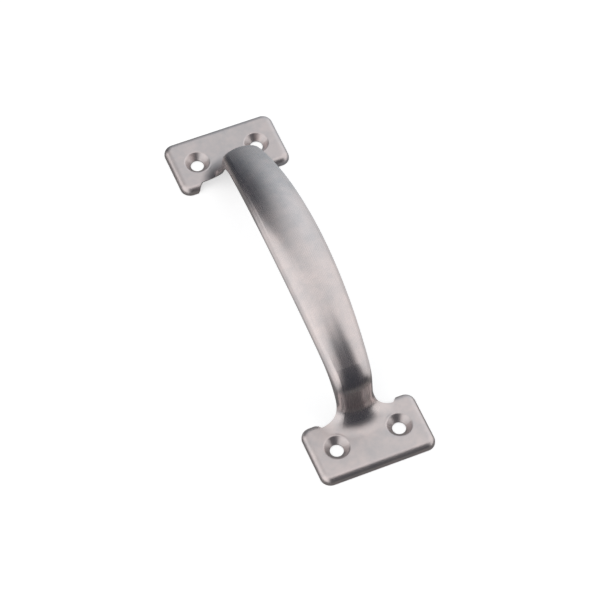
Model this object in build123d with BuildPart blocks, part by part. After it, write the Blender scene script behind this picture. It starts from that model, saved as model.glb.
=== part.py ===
# Utility pull handle: one stamped sheet-steel piece, a bowed open channel between two
# screw feet. The feet stand on the door (z = 0), the bow runs along Y and stands off in +Z.

import os
from math import radians, sqrt, tan

from build123d import *

# overall and feet
overall_length = 165.1  # outer end of one foot to outer end of the other
foot_width = 45.5
foot_length = 25.0
foot_height = 3.0  # pressed up from the door, rims turned down to touch it
corner_radius = 4.0
rim_bend = 2.6  # outside bend of the turned-down rim
sheet = 1.2

# screw holes, dimpled for countersunk heads
hole_spacing_x = 25.0
hole_inset = 12.7  # from the outer end of the foot
hole_diameter = 5.2
head_diameter = 9.7
head_angle = 86.0
dimple_gap = 0.2  # clearance of the dimple's lower lip over the door
dimple_wall = 1.0  # gauge left in the dimple, measured across
dimple_lip = 0.8  # rounding where the sheet turns down into the dimple

# bow, outside faces
crown_height = 41.0
crown_radius = 103.0
web_bend = 13.0  # turn of the web from the leg into the crown
leg_inset = 19.95  # from the outer end of the foot to the leg, in the door plane
leg_lean = 11.5  # degrees the leg leans towards the middle
grip_width = 20.4  # at mid-length
leg_width = 13.2  # at the legs
web_radius = 15.0  # rounding of the web across its width
shoulder_radius = 3.5
root_radius = 8.8  # hollow sweep from the bow into each foot

# free edge of the channel, seen from the side
edge_height = 34.0  # at mid-length
edge_radius = 108.0
edge_bend = 24.0
edge_inset = 21.05  # from the outer end of the foot to where the flanges run out
edge_lean = 24.0

# relief cut between each tab of a foot and the channel
notch_outer = 16.7
notch_inner = 13.0

half_length = overall_length / 2
tab_at = half_length - foot_length
leg_at = half_length - leg_inset
edge_at = half_length - edge_inset
hole_spacing_y = 2 * (half_length - hole_inset)
foot_centre = half_length - foot_length / 2
blank = crown_height + 20  # taller than the bow, for cutting
taper = (grip_width - leg_width) / 2
side_radius = (leg_at**2 + taper**2) / (2 * taper)
web_fall = web_radius - sqrt(web_radius**2 - grip_width**2 / 4)
core_depth = web_fall + 1.5
web_depth = core_depth + 2


# Side outline of an arch: leaning legs under one large arc, with a bend between them.
def arch(at, lean, height, radius, bend, base):
    with BuildSketch(Plane.YZ) as side:
        low = at - tan(radians(lean)) * base
        high = at - tan(radians(lean)) * blank
        Polygon((-low, base), (low, base), (high, blank), (-high, blank), align=None)
        with Locations((0, height - radius)):
            Circle(radius, mode=Mode.INTERSECT)
        fillet(side.vertices().group_by(Axis.Y)[-1], bend)
    return side.sketch


# Side outline of the bow's middle line, a given depth below its outside.
def bow_side(depth, base):
    at = leg_at - depth * sqrt(1 + tan(radians(leg_lean)) ** 2)
    top = crown_height - depth
    return arch(at, leg_lean, top, crown_radius - depth, web_bend - depth, base)


# The filled shape bounded by the outside of the sheet, or by its inside when inset by its gauge.
def skin(inset):
    base = Plane.XY.offset(-inset)
    spine = Wire(bow_side(inset, -inset).edges().sort_by(Axis.Z)[1:])
    inwards = -1 if (spine @ 0).Y > 0 else 1

    with BuildPart() as body:
        # deep core, then the rounded web swept along the bow, both trimmed to its plan
        extrude(bow_side(inset + core_depth, -inset), amount=foot_width, both=True)
        with BuildSketch(Plane(origin=spine @ 0, x_dir=(1, 0, 0), z_dir=spine % 0)):
            with Locations((0, inwards * (web_radius - inset))):
                Circle(web_radius - inset)
            with Locations((0, inwards * web_depth / 2)):
                Rectangle(2 * web_radius, web_depth, mode=Mode.INTERSECT)
        sweep(path=spine)
        with BuildSketch(base):
            with Locations((side_radius - grip_width / 2, 0)):
                Circle(side_radius - inset)
            with Locations((grip_width / 2 - side_radius, 0)):
                Circle(side_radius - inset, mode=Mode.INTERSECT)
        extrude(amount=2 * blank, mode=Mode.INTERSECT)
        flanks = body.faces().sort_by(Axis.X)
        shoulders = flanks[0].edges() + flanks[-1].edges()
        fillet(shoulders.filter_by(lambda e: e.center().Z > 0), shoulder_radius - inset)

        # plate under the whole bow, swept up into it all round
        with BuildSketch(base):
            Rectangle(foot_width, overall_length)
        extrude(amount=foot_height)
        plate_top = body.faces().filter_by(Axis.Z).sort_by(Axis.Z)[-1]
        fillet(plate_top.inner_wires()[0].edges(), root_radius + inset)

    # the two pressed feet, and free space for the bow above them
    with BuildPart() as bounds:
        with BuildSketch(base):
            with Locations((0, foot_centre), (0, -foot_centre)):
                RectangleRounded(
                    foot_width - 2 * inset, foot_length - 2 * inset, corner_radius - inset
                )
        extrude(amount=foot_height)
        fillet(bounds.edges().group_by(Axis.Z)[-1], rim_bend - inset)
        with BuildSketch(Plane.XY.offset(foot_height - inset)):
            Rectangle(foot_width, overall_length)
        extrude(amount=blank)
    return body.part & bounds.part


# Opening towards the door: arched under the bow, notched where it meets the feet.
with BuildPart() as mouth:
    opening = arch(edge_at, edge_lean, edge_height, edge_radius, edge_bend, -sheet)
    extrude(opening, amount=foot_width, both=True)
    with BuildSketch(Plane.XY.offset(-sheet)):
        with BuildLine():
            Polyline(
                (foot_width, 0),
                (foot_width, tab_at),
                (notch_outer, tab_at),
                (notch_inner, edge_at),
                (0, edge_at),
            )
            mirror(about=Plane.YZ)
            mirror(about=Plane.XZ)
        make_face()
    extrude(amount=blank, mode=Mode.INTERSECT)

# What a screw hole takes out about its axis: the bore, the cone and the rounded lip of the cone.
hole = hole_diameter / 2
head = head_diameter / 2
seat = foot_height - (head - hole) / tan(radians(head_angle / 2))
with BuildPart() as drill:
    with BuildSketch(Plane.XZ) as bore:
        with BuildLine():
            Polyline(
                (0, -sheet),
                (hole, -sheet),
                (hole, seat),
                (head, foot_height),
                (head + dimple_lip, foot_height),
                (head + dimple_lip, foot_height + sheet),
                (0, foot_height + sheet),
                close=True,
            )
        make_face()
        fillet(bore.vertices().sort_by_distance((head, foot_height))[0], dimple_lip)
    revolve(axis=Axis.Z)

with BuildPart() as pull_handle:
    add(skin(0))
    add(skin(sheet), mode=Mode.SUBTRACT)
    add(mouth.part, mode=Mode.SUBTRACT)

    # screw holes: the sheet is dimpled down into a cone for the screw's head
    underside = foot_height - sheet
    with Locations((0, 0, dimple_gap)):
        with GridLocations(hole_spacing_x, hole_spacing_y, 2, 2):
            Cone(
                hole + dimple_wall,
                head + dimple_wall,
                underside - dimple_gap,
                align=(Align.CENTER, Align.CENTER, Align.MIN),
            )
    with GridLocations(hole_spacing_x, hole_spacing_y, 2, 2):
        add(drill.part, mode=Mode.SUBTRACT)

pull_handle.part.label = "pull_handle"

os.makedirs("parts", exist_ok=True)
export_step(pull_handle.part, "parts/pull_handle.step")
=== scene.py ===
from math import cos, radians, sin

import bpy
from mathutils import Matrix, Vector

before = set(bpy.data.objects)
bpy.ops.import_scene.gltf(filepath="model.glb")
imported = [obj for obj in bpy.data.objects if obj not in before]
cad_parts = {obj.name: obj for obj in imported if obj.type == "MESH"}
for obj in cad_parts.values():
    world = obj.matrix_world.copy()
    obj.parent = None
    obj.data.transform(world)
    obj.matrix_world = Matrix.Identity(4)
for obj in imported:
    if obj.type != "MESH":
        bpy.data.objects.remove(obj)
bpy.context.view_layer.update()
print("frame loaded")

mmPerMetre = 1000
white = (1.0, 1.0, 1.0, 1.0)


def hexToLinear(code):
    # sRGB hex to linear: each channel over 255, then the sRGB curve undone
    channels = [int(code[i:i + 2], 16) / 255 for i in (1, 3, 5)]
    linear = [c / 12.92 if c <= 0.04045 else ((c + 0.055) / 1.055) ** 2.4 for c in channels]
    return (*linear, 1.0)


def addNode(tree, kind, links=(), **settings):
    # one shader node with its settings; links pairs an input, by name or number, with a value,
    # a socket, or a node whose first output it takes
    node = tree.nodes.new("ShaderNode" + kind)
    for name, value in settings.items():
        setattr(node, name, value)
    for name, value in dict(links).items():
        if isinstance(value, bpy.types.Node):
            value = value.outputs[0]
        if isinstance(value, bpy.types.NodeSocket):
            tree.links.new(value, node.inputs[name])
        else:
            node.inputs[name].default_value = value
    return node


def emptyTree(owner):
    owner.use_nodes = True
    owner.node_tree.nodes.clear()
    return owner.node_tree


# Stamped mild steel, satin finished: a belt brushes the bow lengthwise, so highlights spread
# across it and stay crisp along it; the feet are only tumbled, duller and without lines.
# Lengths in mm.
satinSteel = {
    "steel": "#D7CCCA",
    "patch": "#C6C0C0",  # faint cooler patches left by degreasing and tumbling
    "patchSize": 7.0,
    "patchDetail": 5.0,
    "patchFineness": 0.62,
    "patchMiddle": 0.5,  # value of the noise that is half steel and half patch
    "patchContrast": 0.3,  # span of the noise over which steel turns to patch
    "roughness": 0.27,
    "footRoughness": 0.38,
    "roughnessSpread": 0.11,
    "grainWidth": 0.35,  # brushed lines drawn coarser than the real 0.05 so that they show
    "grainLength": 22.0,
    "grainDetail": 3.0,
    "grainFineness": 0.6,
    "grainMiddle": 0.5,  # value of the noise that is level with the sheet
    "grainDepth": 0.001,
    "footGrain": 0.1,  # share of the grain that the feet get
    "footTop": 3.5,  # height up to which the finish is the feet's
    "dullTop": 5.0,  # from here up the roughness is the bow's
    "rootTop": 11.0,  # from here up the grain is the bow's
}


def makeSatinSteel(look):
    material = bpy.data.materials.new("satinBrushedSteel")
    tree = emptyTree(material)
    place = addNode(tree, "TexCoord").outputs["Object"]
    height = addNode(tree, "SeparateXYZ", {0: place}).outputs[2]
    footTop = look["footTop"] / mmPerMetre

    # colour: steel with faint patches
    cloud = addNode(tree, "TexNoise", {0: place, "Scale": mmPerMetre / look["patchSize"],
                                       "Detail": look["patchDetail"],
                                       "Roughness": look["patchFineness"]})
    span = look["patchContrast"] / 2
    patchy = addNode(tree, "MapRange", {0: cloud, 1: look["patchMiddle"] - span,
                                        2: look["patchMiddle"] + span})
    tone = addNode(tree, "Mix", {0: patchy, 6: hexToLinear(look["steel"]),
                                 7: hexToLinear(look["patch"])}, data_type="RGBA")

    # brushed lines: noise drawn out along the bow, fading out down its roots
    across = mmPerMetre / look["grainWidth"]
    along = mmPerMetre / look["grainLength"]
    drawnOut = addNode(tree, "Mapping", {0: place, "Scale": (across, along, along)})
    grain = addNode(tree, "TexNoise", {0: drawnOut, "Scale": 1.0, "Detail": look["grainDetail"],
                                       "Roughness": look["grainFineness"]})
    lines = addNode(tree, "Math", {0: grain, 1: look["grainMiddle"]}, operation="SUBTRACT")
    belt = addNode(tree, "MapRange", {0: height, 1: footTop, 2: look["rootTop"] / mmPerMetre,
                                      3: look["footGrain"], 4: 1.0})
    brushed = addNode(tree, "Math", {0: lines, 1: belt}, operation="MULTIPLY")

    # the lines spread the roughness and raise the surface
    plain = addNode(tree, "MapRange", {0: height, 1: footTop, 2: look["dullTop"] / mmPerMetre,
                                       3: look["footRoughness"], 4: look["roughness"]})
    rough = addNode(tree, "Math", {0: brushed, 1: look["roughnessSpread"], 2: plain},
                    operation="MULTIPLY_ADD")
    bump = addNode(tree, "Bump", {"Height": brushed, "Strength": 1.0,
                                  "Distance": look["grainDepth"] / mmPerMetre})
    steel = addNode(tree, "BsdfPrincipled", {"Base Color": tone.outputs[2], "Metallic": 1.0,
                                             "Roughness": rough, "Normal": bump})
    addNode(tree, "OutputMaterial", {"Surface": steel})
    return material


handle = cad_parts["pull_handle"]
handle.data.materials.clear()
handle.data.materials.append(makeSatinSteel(satinSteel))
print("handle finished")

# Studio: a light tent, brightest at the left and a little dimmer overhead, with an unlit gap in
# front, where the camera stands, and another behind that fades off towards +X and is wider low
# down towards -X. Angles are in degrees: azimuth 0 is -Y and 90 is +X. A gap's edges are
# measured from its middle, left and right as one who stands in it and faces the handle sees them.
studio = {
    "tentLevel": 1.14,
    "rightward": -0.06,  # change of level towards +X
    "brightestHeight": 0.5,  # height of a unit ray where the tent is brightest
    "falloff": -0.65,  # change of level above and below that, by the height squared
    "gap": "#E6ECFF",  # what is left in the gaps is cooler
    "gapLevel": 0.08,
    "front": {"middle": 0.0, "left": 42.0, "leftSoft": 36.0, "right": 54.0, "rightSoft": 10.0,
              "top": 71.5, "topSoft": 12.0, "pinch": 1.33},
    "back": {"middle": 190.0, "left": 27.0, "leftSoft": 84.0, "right": 34.0, "rightSoft": 8.0,
             "top": 52.0, "topSoft": 58.0, "pinch": 1.0},
    "backLow": {"middle": 216.0, "left": 8.0, "leftSoft": 4.0, "right": 14.0,
                "rightSoft": 10.0, "top": 6.0, "topSoft": 16.0, "pinch": 1.0},
    "cool": "#F1FAFF",  # the tent's cloth low down behind, away from the lamps
    "coolPart": {"middle": 165.0, "left": 40.0, "leftSoft": 40.0, "right": 40.0,
                 "rightSoft": 40.0, "top": 50.0, "topSoft": 40.0, "pinch": 1.0},
    "pinchFrom": 50.0,  # a pinched gap narrows by its own factor from this height
    "pinchTo": 12.0,  # down to this one
}


def tentLight(tree, ray, look):
    # what the tent shows along a unit ray: its own light, or what is left in the gaps
    axes = addNode(tree, "SeparateXYZ", {0: ray}).outputs
    elevation = addNode(tree, "Math", {0: axes[2]}, operation="ARCSINE")

    def fade(angle, middle, soft):
        # 1 well below middle, 0 well above it, smooth over the soft width
        return addNode(tree, "MapRange", {0: angle, 1: radians(middle - soft / 2),
                                          2: radians(middle + soft / 2), 3: 1.0, 4: 0.0},
                       interpolation_type="SMOOTHSTEP")

    def gap(edges):
        # turn the ray so that the gap's middle is at -Y, then fade at each side and at the top
        turned = addNode(tree, "VectorRotate", {0: ray, "Angle": radians(-edges["middle"])},
                         rotation_type="Z_AXIS")
        parts = addNode(tree, "SeparateXYZ", {0: turned}).outputs
        ahead = addNode(tree, "Math", {0: parts[1], 1: -1.0}, operation="MULTIPLY")
        turn = addNode(tree, "Math", {0: parts[0], 1: ahead}, operation="ARCTAN2")
        pinch = addNode(tree, "MapRange", {0: elevation, 1: radians(look["pinchTo"]),
                                           2: radians(look["pinchFrom"]),
                                           3: edges["pinch"], 4: 1.0})
        toRight = addNode(tree, "Math", {0: turn, 1: pinch}, operation="MULTIPLY")
        toLeft = addNode(tree, "Math", {0: toRight, 1: -1.0}, operation="MULTIPLY")
        right = fade(toRight, edges["right"], edges["rightSoft"])
        left = fade(toLeft, edges["left"], edges["leftSoft"])
        wide = addNode(tree, "Math", {0: right, 1: left}, operation="MULTIPLY")
        tall = fade(elevation, edges["top"], edges["topSoft"])
        return addNode(tree, "Math", {0: wide, 1: tall}, operation="MULTIPLY")

    behind = addNode(tree, "Math", {0: gap(look["back"]), 1: gap(look["backLow"])},
                     operation="MAXIMUM")
    dark = addNode(tree, "Math", {0: gap(look["front"]), 1: behind}, operation="MAXIMUM")
    side = addNode(tree, "Math", {0: axes[0], 1: look["rightward"], 2: look["tentLevel"]},
                   operation="MULTIPLY_ADD")
    away = addNode(tree, "Math", {0: axes[2], 1: look["brightestHeight"]},
                   operation="SUBTRACT")
    squared = addNode(tree, "Math", {0: away, 1: away}, operation="MULTIPLY")
    level = addNode(tree, "Math", {0: squared, 1: look["falloff"], 2: side},
                    operation="MULTIPLY_ADD")
    unlit = (*(c * look["gapLevel"] for c in hexToLinear(look["gap"])[:3]), 1.0)
    light = addNode(tree, "Mix", {0: dark, 6: level, 7: unlit}, data_type="RGBA")
    cooled = addNode(tree, "Mix", {0: gap(look["coolPart"]), 6: light.outputs[2],
                                   7: hexToLinear(look["cool"])},
                     data_type="RGBA", blend_type="MULTIPLY")
    return cooled.outputs[2]


def makeStudio(look):
    world = bpy.data.worlds.new("studio")
    bpy.context.scene.world = world
    tree = emptyTree(world)
    ray = addNode(tree, "TexCoord").outputs["Generated"]
    fromCamera = addNode(tree, "LightPath").outputs["Is Camera Ray"]
    shown = addNode(tree, "Mix", {0: fromCamera, 6: tentLight(tree, ray, look), 7: white},
                    data_type="RGBA")
    sky = addNode(tree, "Background", {"Color": shown.outputs[2], "Strength": 1.0})
    addNode(tree, "OutputWorld", {"Surface": sky})


makeStudio(studio)

# Floor: a plain pale sheet, topped up to white where the camera sees it, less the handle's
# shadow. Only the metal sees painted light on it: the tent's light painted into its colour and
# glow, bright at both sides, painted shade under the bow and unlit beyond each foot. Lengths in
# metres.
floorSheet = {
    "half": 2.0,
    "paper": "#DADADA",
    "lift": 0.58,  # light of its own where the camera or the metal sees the paper
    "turnAt": 0.015,  # from the middle; past it the gaps' angles are taken from here
    "inMetal": 0.8,  # level of the paper as the metal shows it, against the tent
    "spill": 0.2,  # painted light on the paper just past a foot, which shows in the leg
    "spillFrom": 0.085,
    "spillTo": 0.12,
    "shade": 0.5,  # level of the painted shade on the paper under the bow, where the handle's own shade falls
    "shadeFrom": 0.015,  # to each side of the middle
    "shadeTo": 0.05,
    "shadeEndFrom": 0.05,  # along the handle
    "shadeEndTo": 0.07,
}


def makeFloor(look, tent):
    half = look["half"]
    corners = [(-half, -half, 0), (half, -half, 0), (half, half, 0), (-half, half, 0)]
    mesh = bpy.data.meshes.new("floor")
    mesh.from_pydata(corners, [], [(0, 1, 2, 3)])
    floor = bpy.data.objects.new("floor", mesh)
    bpy.context.scene.collection.objects.link(floor)

    material = bpy.data.materials.new("paleStudioPaper")
    tree = emptyTree(material)
    rays = addNode(tree, "LightPath").outputs
    axes = addNode(tree, "SeparateXYZ",
                   {0: addNode(tree, "TexCoord").outputs["Object"]}).outputs
    width = addNode(tree, "Math", {0: axes[0]}, operation="ABSOLUTE")
    end = addNode(tree, "Math", {0: axes[1]}, operation="ABSOLUTE")

    # painted light: the part of the tent that this spot of paper lies towards, painted into it
    nearest = addNode(tree, "Clamp", {0: axes[1], 1: -look["turnAt"], 2: look["turnAt"]})
    beyond = addNode(tree, "Math", {0: axes[1], 1: nearest}, operation="SUBTRACT")
    flat = addNode(tree, "CombineXYZ", {0: axes[0], 1: beyond})
    ray = addNode(tree, "VectorMath", {0: flat}, operation="NORMALIZE")
    around = tentLight(tree, ray.outputs[0], tent)

    # painted shade under the bow, and never less than the painted light spilt past a foot
    openSide = addNode(tree, "MapRange", {0: width, 1: look["shadeFrom"], 2: look["shadeTo"],
                                          3: look["shade"], 4: 1.0},
                       interpolation_type="SMOOTHSTEP")
    openEnd = addNode(tree, "MapRange", {0: end, 1: look["shadeEndFrom"],
                                         2: look["shadeEndTo"], 3: 0.0, 4: 1.0})
    openness = addNode(tree, "Math", {0: openSide, 1: openEnd}, operation="MAXIMUM")
    inMetal = addNode(tree, "Math", {0: openness, 1: look["inMetal"]}, operation="MULTIPLY")
    reached = addNode(tree, "VectorMath", {0: around, "Scale": inMetal}, operation="SCALE")
    spill = addNode(tree, "MapRange", {0: end, 1: look["spillFrom"], 2: look["spillTo"],
                                       3: look["spill"], 4: 0.0},
                    interpolation_type="SMOOTHSTEP")
    lit = addNode(tree, "VectorMath", {0: reached, 1: spill}, operation="MAXIMUM")

    # paper with light of its own; only the metal is shown the tent's light and shade, painted on
    # it
    share = addNode(tree, "Mix", {0: rays["Is Glossy Ray"], 6: white, 7: lit},
                    data_type="RGBA")
    colour = addNode(tree, "Mix", {0: 1.0, 6: hexToLinear(look["paper"]),
                                   7: share.outputs[2]},
                     data_type="RGBA", blend_type="MULTIPLY")
    paper = addNode(tree, "BsdfDiffuse", {"Color": colour.outputs[2]})
    seen = addNode(tree, "Math", {0: rays["Is Camera Ray"], 1: rays["Is Glossy Ray"]},
                   operation="MAXIMUM")
    lift = addNode(tree, "Math", {0: seen, 1: look["lift"]}, operation="MULTIPLY")
    glow = addNode(tree, "Emission", {"Color": share.outputs[2], "Strength": lift})
    both = addNode(tree, "AddShader", {0: paper, 1: glow})
    addNode(tree, "OutputMaterial", {"Surface": both})
    mesh.materials.append(material)


makeFloor(floorSheet, studio)

# Camera: a metre away, found by laying the part's outline over the picture's. Lengths in mm,
# angles in degrees, and the focal length in the picture's own pixels.
view = {
    "azimuth": -23.07,
    "elevation": 56.84,
    "roll": 0.448,
    "distance": 1000.0,
    "right": 1.928,
    "up": -2.503,
    "focal": 2621.9,
    "picture": 600,  # pixels across
    "film": 36,
    "farthest": 20000,
}


def makeCamera(look):
    around = radians(look["azimuth"])
    rise = radians(look["elevation"])
    back = Vector((sin(around) * cos(rise), -cos(around) * cos(rise), sin(rise)))
    right = Vector((0, 0, 1)).cross(back).normalized()
    up = back.cross(right)
    roll = radians(look["roll"])
    rightTurned = right * cos(roll) + up * sin(roll)
    upTurned = up * cos(roll) - right * sin(roll)
    place = rightTurned * look["right"] + upTurned * look["up"] + back * look["distance"]
    data = bpy.data.cameras.new("camera")
    data.sensor_width = look["film"]
    data.lens = look["focal"] / look["picture"] * look["film"]
    data.clip_end = look["farthest"] / mmPerMetre
    camera = bpy.data.objects.new("camera", data)
    turn = Matrix((rightTurned, upTurned, back)).transposed().to_4x4()
    camera.matrix_world = Matrix.Translation(place / mmPerMetre) @ turn
    bpy.context.scene.collection.objects.link(camera)
    bpy.context.scene.camera = camera


makeCamera(view)
bpy.context.scene.view_settings.view_transform = "Standard"
print("studio and camera ready")
